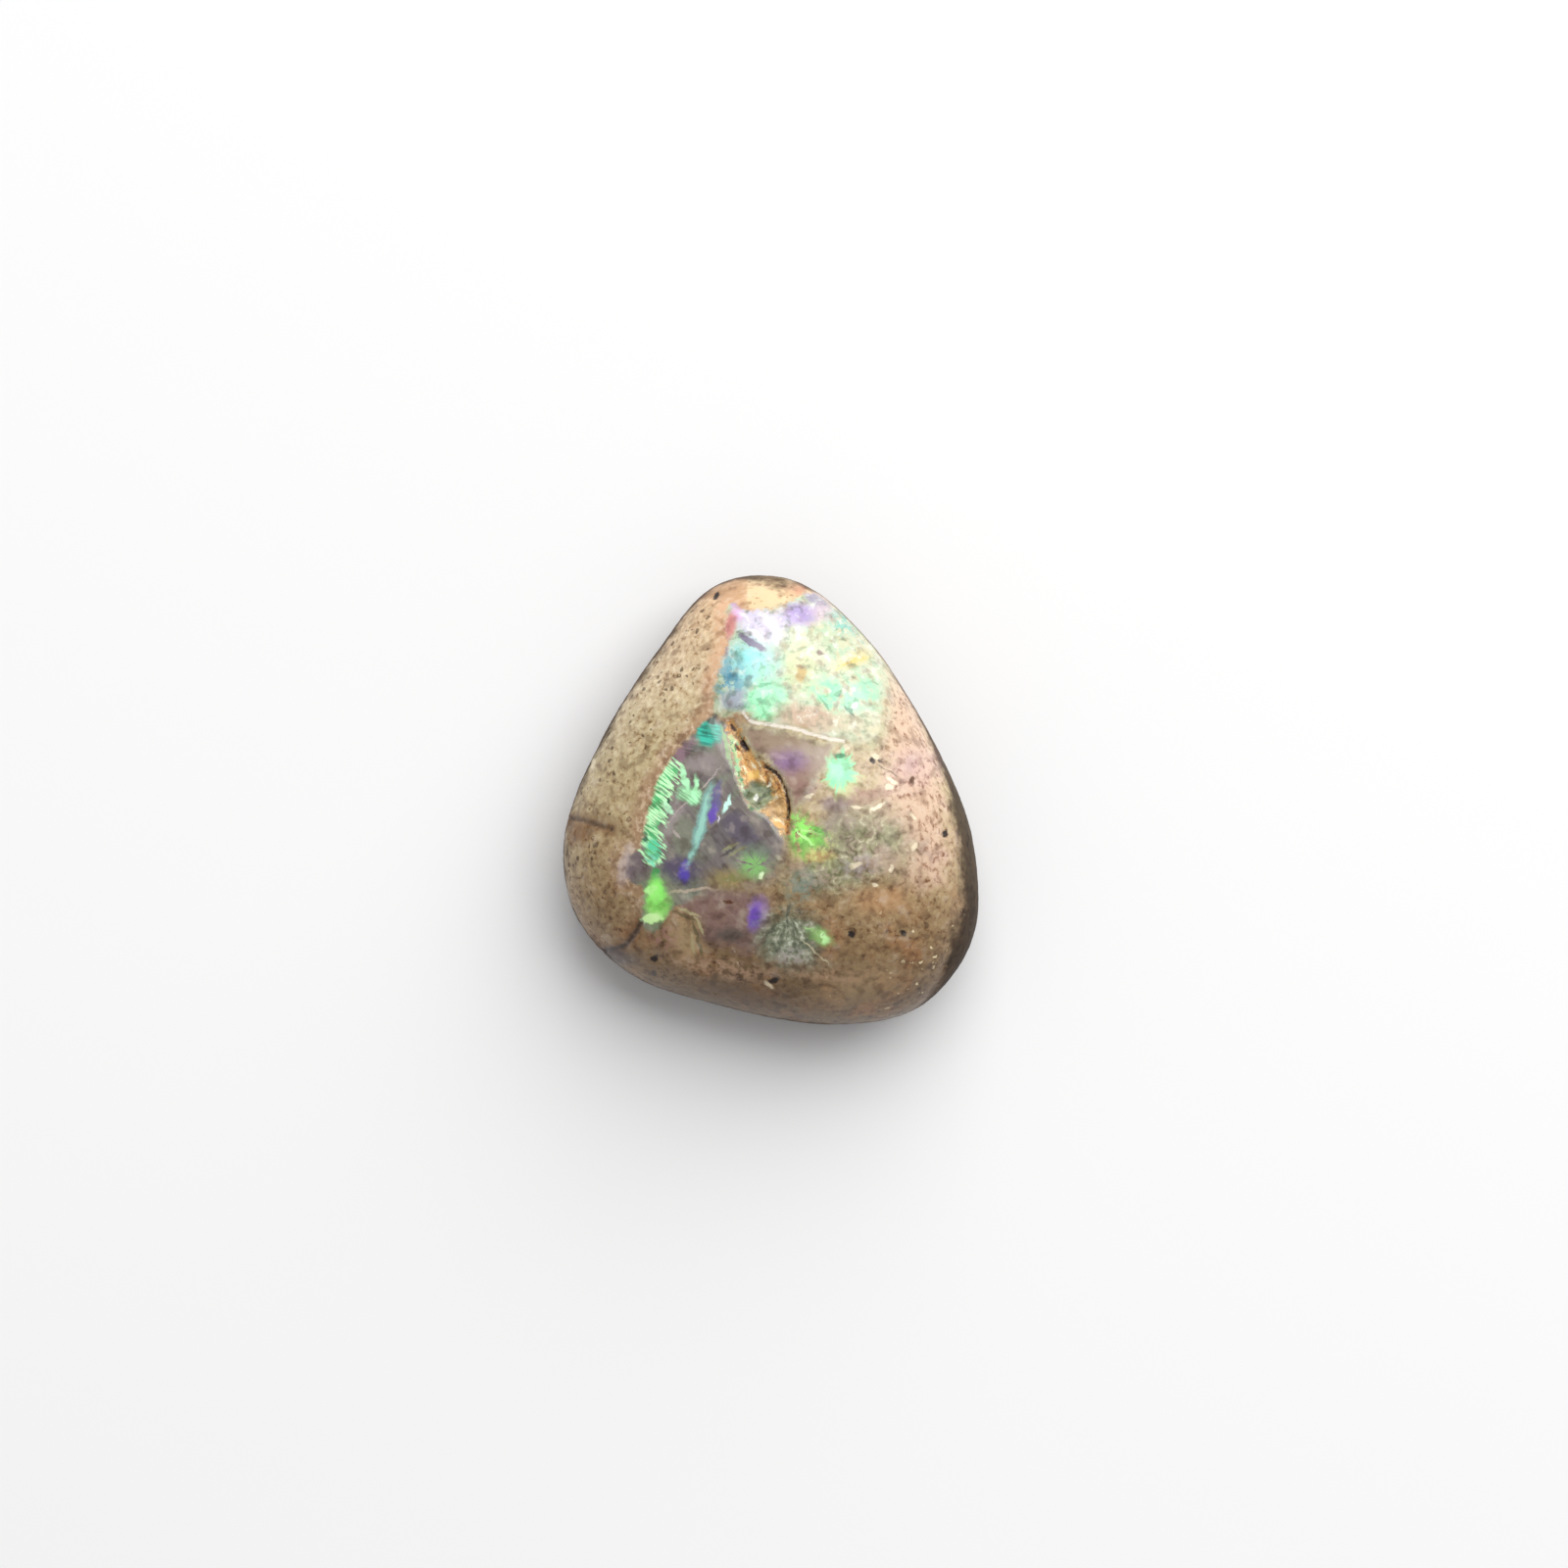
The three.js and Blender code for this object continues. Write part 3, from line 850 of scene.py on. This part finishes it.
# %% Smoke, stripes and the lens
dark_stripe = colour(110, 98, 64)
smoky = step(field("smoky") + wander * 0.5 + ragged * 0.2, -0.15, 0.2)
ground = paint(blend(ground, colour(136, 108, 104), smoky * 0.8), [
    # Painted shade: a band of dark brown along the bottom edge, where the lower slope turns away from the
    # light.
    (colour(98, 70, 36), (-0.8, -4.5), 1.2, 0.3, -10, 0.85, 1.6),
    (colour(186, 158, 120), (2.1, -4.2), 0.9, 0.4, 12, 0.6, 1.8),
    (colour(196, 158, 128), (-1.1, -3.86), 1.1, 0.2, -9, 0.7, 1.4, patchy),
    (colour(190, 152, 120), (1.2, -4.0), 0.9, 0.16, -4, 0.6, 1.4, patchy),
    (colour(168, 122, 110), (-2.4, -3.17), 0.36, 0.3, 0, 0.7, 1.0, patchy),
    (colour(196, 168, 126), (-1.9, -3.2), 0.3, 0.44, 15, 0.6, 1.4),
    (colour(86, 72, 70), (-3.6, -3.64), 0.55, 0.2, -12, 0.85, 1.1),
    (colour(210, 192, 184), (-3.32, -1.5), 0.17, 0.46, -12, 0.7, 1.0),
    (colour(126, 82, 32), (-4.42, -0.78), 0.3, 0.24, 0, 0.8, 1.4),
    (dark_stripe, (-1.97, -2.64), 0.3, 0.04, -25, 0.85),
    (dark_stripe, (-1.72, -2.96), 0.26, 0.04, -60, 0.85),
    (dark_stripe, (-1.62, -3.3), 0.26, 0.035, -80, 0.85),
    (colour(196, 186, 140), (-1.88, -2.54), 0.32, 0.035, -22, 0.85),
    (colour(190, 180, 134), (-1.62, -2.86), 0.26, 0.035, -58, 0.85),
    (colour(186, 174, 130), (-1.75, -3.28), 0.24, 0.03, -80, 0.8),
    (colour(96, 84, 76), (-0.9, -3.1), 0.34, 0.17, 8, 0.85, 1.0),
    (colour(92, 52, 24), (-0.97, -2.29), 0.11, 0.035, -15),
    (colour(172, 140, 204), (-0.28, -2.56), 0.2, 0.34, -8, 0.75, 1.2),
    (colour(112, 72, 188), (-0.36, -2.66), 0.13, 0.28, -8, 0.95, 1.2),
])
tally("smoke")

# %% [markdown]
# ## Broken ground
#
# Right of the vein the opal is not a window but fills the gaps between sand grains. It shows as small rings
# and wisps of green and mauve, as cream flecks, and as a few bright bursts where a larger gap was filled.

# %% Rings and wisps
curl = Wire.maths("PINGPONG", cloud(drawn, 0.4) * 4.5, 0.5) * 0.9 + crumb * 1.2 - 0.35
ring_colour = ramp(
    curl, (0.2, colour(92, 92, 64)), (0.36, colour(134, 130, 98)), (0.5, colour(164, 146, 130)),
    (0.62, colour(154, 154, 118)), (0.78, colour(206, 198, 168)), (0.9, colour(232, 224, 200)),
)
ring_colour = blend(ring_colour, colour(146, 158, 108), step(wander, 0.0, 0.14) * 0.45)
ring_colour = blend(ring_colour, colour(204, 176, 162), step(-wander, 0.02, 0.16) * 0.5)
fan_colour = ramp(
    rays((0.41, -2.4), 34) * 0.4 + crumb * 0.6, (0.38, colour(58, 70, 54)), (0.46, colour(100, 112, 90)),
    (0.54, colour(144, 152, 128)), (0.62, colour(206, 214, 192)),
)
fan_points = rays((0.41, -2.7), 26) * 0.9 - 0.45 + feather
ground = paint(ground, [
    (colour(206, 184, 158), (1.7, 0.3), 1.0, 0.75, -20, 0.7, 1.2, patchy),
    (colour(152, 120, 138), (0.7, 0.35), 0.3, 0.4, 30, 0.7, 1.0),
    (colour(172, 132, 116), (2.1, 0.08), 0.5, 0.18, 5, 0.7, 1.0),
    (colour(138, 116, 118), (1.5, -0.1), 0.36, 0.2, 0, 0.8, 1.0),
    (colour(160, 148, 136), (1.58, -0.68), 0.46, 0.5, 0, 0.8, 1.0),
    (ring_colour, (2.3, -1.0), 0.9, 0.74, -15, 0.85, 1.2),
    (ring_colour, (1.3, -1.62), 0.95, 0.5, 10, 0.9, 1.1),
    (colour(204, 172, 110), (1.04, -1.25), 0.4, 0.14, 0, 0.7, 1.0),
    (colour(176, 162, 168), (2.0, -1.5), 0.4, 0.25, 20, 0.5, 1.2, patchy),
    (colour(116, 134, 122), (0.7, -1.95), 0.4, 0.3, 60, 0.8, 1.6, patchy),
    (colour(158, 150, 128), (0.5, -3.3), 0.72, 0.58, -10, 0.55, 1.4),
    (fan_colour, (0.42, -3.12), 0.66, 0.62, -15, 0.9, 1.0, None, fan_points),
    (colour(206, 196, 190), (0.45, -3.6), 0.3, 0.17, 10, 0.6, 1.4, patchy),
    (colour(78, 84, 68), (0.42, -2.55), 0.045, 0.28, -8, 0.8),
    (colour(206, 196, 160), (1.03, -3.45), 0.42, 0.022, -43, 0.8),
    (colour(196, 148, 104), (2.55, -2.3), 0.6, 0.3, 10, 0.5, 1.2),
    (colour(200, 160, 196), (3.2, 0.75), 0.5, 0.4, 0, 0.2, 2.0),
])
tally("rings")

# %% Flecks and pits
fleck = colour(250, 236, 204)
pit = colour(40, 27, 20)
ground = paint(ground, [
    (fleck, (0.9, 0.08), 0.12, 0.06, 5),
    (fleck, (2.42, -0.2), 0.18, 0.05, 22),
    (fleck, (2.0, -0.15), 0.12, 0.05, -10, 0.8),
    (fleck, (3.24, -0.37), 0.11, 0.05, -50),
    (fleck, (1.72, 1.16), 0.18, 0.06, 15),
    (fleck, (2.78, 0.42), 0.13, 0.05, -25),
    (fleck, (2.7, 0.27), 0.12, 0.05, 20, 0.8),
    (fleck, (2.4, 1.0), 0.13, 0.08, 0, 0.7),
    (fleck, (0.22, -1.29), 0.1, 0.05, -40),
    (fleck, (2.74, -1.56), 0.09, 0.06, 40, 0.8),
    (fleck, (2.4, -1.93), 0.08, 0.05, 0, 0.8),
    (fleck, (1.94, -1.45), 0.16, 0.06, 30, 0.7),
    (fleck, (3.3, -1.07), 0.1, 0.06, 60, 0.7),
    (fleck, (-4.06, 0.77), 0.05, 0.09, 0, 0.7),
    (colour(60, 46, 36), (2.32, 0.88), 0.06, 0.08),
    (colour(92, 76, 60), (2.5, 0.89), 0.05, 0.06),
    (colour(130, 108, 88), (2.65, 0.66), 0.3, 0.018, -30, 0.8),
    (colour(120, 88, 66), (3.27, 0.45), 0.05, 0.08),
    (pit, (-1.24, 4.7), 0.07, 0.1, -30),
    (pit, (1.84, -3.06), 0.09, 0.09),
    (pit, (3.03, -3.06), 0.07, 0.07),
    (pit, (-2.66, -3.65), 0.1, 0.08),
    (pit, (-2.63, -4.02), 0.07, 0.06, 0, 0.8),
    (pit, (4.0, -0.78), 0.07, 0.09),
    (pit, (0.08, -4.14), 0.12, 0.06, 20),
    (fleck, (-0.05, -4.24), 0.12, 0.05, -50, 0.6),
])
tally("flecks")

# %% Bursts
star_points = rays((1.58, 0.66), 22) * 2.4 - 1.2
burst_points = rays((0.62, -0.55), 16) * 2.4 - 1.2
spark = step(crumb, 0.42, 0.54)
bursts = [
    (colour(214, 226, 160), (1.64, 0.44), 0.34, 0.32, 0, 0.5, 1.0, None, star_points),
    (colour(146, 240, 180), (1.58, 0.68), 0.34, 0.36, 0, 0.95, 0.6, None, star_points),
    (colour(172, 250, 200), (1.55, 0.7), 0.2, 0.2, 0, 0.8, 1.0),
    (colour(204, 216, 134), (0.98, -1.06), 0.42, 0.36, 0, 0.7, 1.6, spark),
    (colour(92, 184, 76), (0.8, -0.8), 0.36, 0.44, 30, 0.75, 1.0, shards, burst_points),
    (colour(150, 240, 110), (0.7, -0.66), 0.26, 0.34, 35, 0.95, 0.9, spark, burst_points),
    (colour(196, 250, 160), (0.78, -0.84), 0.3, 0.035, -40, 0.8),
    (colour(190, 246, 150), (0.92, -0.72), 0.22, 0.03, -20, 0.8),
    (colour(140, 196, 110), (1.16, -3.12), 0.28, 0.15, -27, 0.7, 1.2),
    (colour(196, 250, 170), (1.2, -3.14), 0.2, 0.09, -27, 0.95, 0.9, spark),
    (colour(170, 214, 140), (0.96, -2.98), 0.2, 0.03, -34, 0.7),
]
# Painted glow: the bursts give off a little light of their own.
ground_painted_glow = paint(DARK, bursts)
ground = touch(paint(ground, bursts), colour(60, 140, 90), (1.56, 1.0), 0.09, 0.05)
ground = hazed(ground, (1 - wall_and_shade) * step(north, -4.6, -3.2, 0.25))
tally("bursts")

# %% [markdown]
# ## Gloss and fine relief
#
# Opal takes a glassy polish and sandstone a duller one. The flank was never brought to a polish at all. A
# clear coat is the simplest glaze for this: it mirrors the window softly and leaves the colours below alone.
# Each body gets its own shader under this one gloss, and masks mix them. One shader with one long colour
# would look the same, but a render skips a shader whose share is nothing, so the mix is much quicker.

# %% Gloss
# Strength of the painted glow of the brightest flashes.
PAINTED_GLOW = 0.15
BUMP_DEPTH = 0.02 * MM
BUMP_STRENGTH = 0.5
ROCK_ROUGHNESS = 0.42
ROCK_SHINE = 0.35
ROCK_COAT = 0.3
COAT_ROUGHNESS = 0.16
COAT_IOR = 1.6
glass = either(crown, wing, mauve)
roughness = ROCK_ROUGHNESS - glass * 0.2 + speck * 0.2 + wall_and_shade * 0.4 + vein * 0.1
coat = (ROCK_COAT + glass * 0.4 - speck * 0.2) * (1 - wall_and_shade)
soft_rock = 1 - step(field("hard"), 0.2, 0.8)
sockets = {"Strength": BUMP_STRENGTH, "Distance": BUMP_DEPTH, "Height": grain * soft_rock}
bump = Wire.node("Bump", None, sockets)


def polished(tint, light=DARK):
    """One body of the stone: its colour and a painted glow of its own, under the gloss that all of them
    share.
    """
    return Wire.node("BsdfPrincipled", None, {
        "Base Color": tint,
        "Roughness": roughness,
        "Specular IOR Level": ROCK_SHINE,
        "Coat Weight": coat,
        "Coat Roughness": COAT_ROUGHNESS,
        "Coat IOR": COAT_IOR,
        "Emission Color": light,
        "Emission Strength": PAINTED_GLOW,
        "Normal": bump,
    })


tally("gloss")


# %% Mix the bodies
def laid_over(under, over, share):
    """One shader laid over another."""
    return Wire.node("MixShader", None, {0: share, 1: under, 2: over})


face = step(up + wander * 0.3, 1.4, 1.75)
whole = polished(ground, ground_painted_glow)
whole = laid_over(whole, polished(vein_colour), vein)
whole = laid_over(whole, polished(window_colour), either(crown, mauve, healed))
whole = laid_over(whole, polished(wing_colour, wing_painted_glow), wing)
whole = laid_over(polished(flank_colour), whole, face)
Wire.node("OutputMaterial", None, {"Surface": whole})
stone.data.materials.append(opal_finish)
tally("finish")

# %% [markdown]
# ## Floor
#
# The stone lies on a plain pale table. A single large square is enough, with no gloss, so that nothing on it
# competes with the stone.

# %% Floor
FLOOR_SIDE = 3.0
FLOOR_TINT = (0.92, 0.92, 0.92, 1.0)
half = FLOOR_SIDE / 2
corners = [(-half, -half, 0), (half, -half, 0), (half, half, 0), (-half, half, 0)]
floor_mesh = bpy.data.meshes.new("floor")
floor_mesh.from_pydata(corners, [], [(0, 1, 2, 3)])
floor = bpy.data.objects.new("floor", floor_mesh)
scene.collection.objects.link(floor)
floor_finish = bpy.data.materials.new("pale floor")
floor_finish.use_nodes = True
floor_shader = floor_finish.node_tree.nodes["Principled BSDF"]
floor_shader.inputs["Base Color"].default_value = FLOOR_TINT
floor_shader.inputs["Roughness"].default_value = 1.0
floor_shader.inputs["Specular IOR Level"].default_value = 0.0
floor_mesh.materials.append(floor_finish)
print("floor, m:", FLOOR_SIDE)

# %% [markdown]
# ## Light
#
# A small stone is best seen by a window: one large soft light from the upper right, high enough to keep the
# shadow short, and a pale room all around. A sun lamp would give hard shadows, and a picture of a room would
# show up in the polish. The standard view keeps the colours as they were chosen.

# %% Light
WINDOW_AZIMUTH = math.radians(62)
WINDOW_TILT = math.radians(48)
WINDOW_DISTANCE = 0.25
WINDOW_SIDE = 0.33
WINDOW_POWER = 0.98
ROOM_STRENGTH = 0.38
towards = Vector((
    math.sin(WINDOW_TILT) * math.cos(WINDOW_AZIMUTH),
    math.sin(WINDOW_TILT) * math.sin(WINDOW_AZIMUTH),
    math.cos(WINDOW_TILT),
))
window = bpy.data.lights.new("window", "AREA")
window.shape = "SQUARE"
window.size = WINDOW_SIDE
window.energy = WINDOW_POWER
window_light = bpy.data.objects.new("window", window)
window_light.location = towards * WINDOW_DISTANCE
window_light.rotation_euler = towards.to_track_quat("Z", "Y").to_euler()
scene.collection.objects.link(window_light)
room = bpy.data.worlds.new("room")
room.use_nodes = True
room_light = room.node_tree.nodes["Background"]
room_light.inputs["Color"].default_value = (1.0, 1.0, 1.0, 1.0)
room_light.inputs["Strength"].default_value = ROOM_STRENGTH
scene.world = room
scene.view_settings.view_transform = "Standard"
print("window at, m:", [round(part, 3) for part in window_light.location])

# %% [markdown]
# ## Camera
#
# The photograph looks straight down on the stone. How far off isn't known, and thirteen centimetres suits
# a close view of something this small. The lens follows from how wide the picture is at the height of the
# stone's widest section.

# %% Camera
CAMERA_HEIGHT = 0.130
WIDEST_HEIGHT = 1.45 * MM
VIEW_MIDDLE = (0.311 * MM, 0.361 * MM)
VIEW_SIDE = 36.36 * MM
SENSOR_SIDE = 36.0
NEAREST = 0.001
camera_data = bpy.data.cameras.new("camera")
camera_data.sensor_width = SENSOR_SIDE
camera_data.lens = SENSOR_SIDE * (CAMERA_HEIGHT - WIDEST_HEIGHT) / VIEW_SIDE
camera_data.clip_start = NEAREST
camera = bpy.data.objects.new("camera", camera_data)
camera.location = (*VIEW_MIDDLE, CAMERA_HEIGHT)
scene.collection.objects.link(camera)
scene.camera = camera
print("lens, mm:", round(camera_data.lens, 1))
